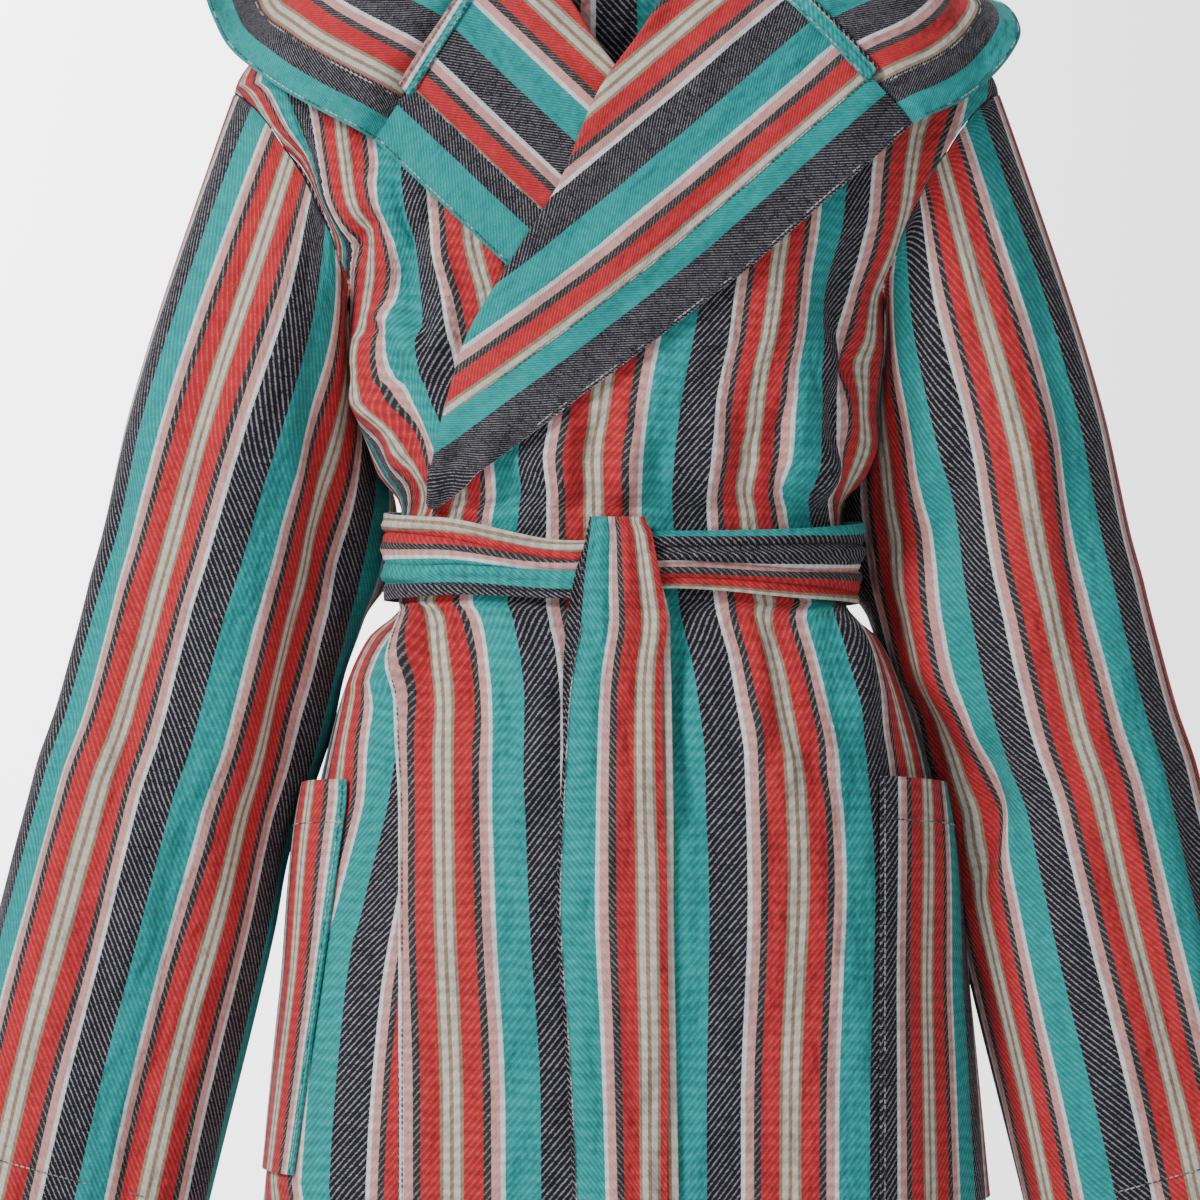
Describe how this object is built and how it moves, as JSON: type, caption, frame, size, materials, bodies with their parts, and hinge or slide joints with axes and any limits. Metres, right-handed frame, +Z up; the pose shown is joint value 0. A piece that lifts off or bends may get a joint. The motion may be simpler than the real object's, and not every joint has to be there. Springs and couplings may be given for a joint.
{
  "type": "hooded bathrobe with tie belt, as worn",
  "caption": "Long hooded bathrobe of striped cotton twill, wrapped and tied with a belt, hollow as worn, with the hood down on the shoulders.",
  "frame": {"origin": "base of the neck, on the centre line, at the height where the wearer's shoulders meet the neck", "axes": "+Z up, +X to the wearer's left, -Y out of the front"},
  "size_m": [0.822, 0.3184, 1.192],
  "materials": {
    "striped_cotton": "matt striped cotton twill in teal, navy, red, cream and pink",
    "striped_cotton_reverse": "wrong side of the striped twill, matt, with light weft flecks",
    "seam_strip_cotton": "narrow felled strip of the same twill, topstitched",
    "belt_cotton": "doubled striped twill, matt"
  },
  "bodies": {
    "root": {"back": "striped_cotton", "front_left": "striped_cotton", "front_right": "striped_cotton", "sleeve_left": "striped_cotton", "sleeve_right": "striped_cotton", "lapel_left": "striped_cotton_reverse", "lapel_right": "striped_cotton_reverse", "hood_left": "striped_cotton_reverse", "hood_right": "striped_cotton_reverse", "seam_left": "seam_strip_cotton", "seam_right": "seam_strip_cotton", "pocket_left": "striped_cotton", "pocket_right": "striped_cotton", "belt_band": "belt_cotton", "belt_tail_front": "belt_cotton", "belt_tail_back": "belt_cotton"}
  },
  "joints": []
}
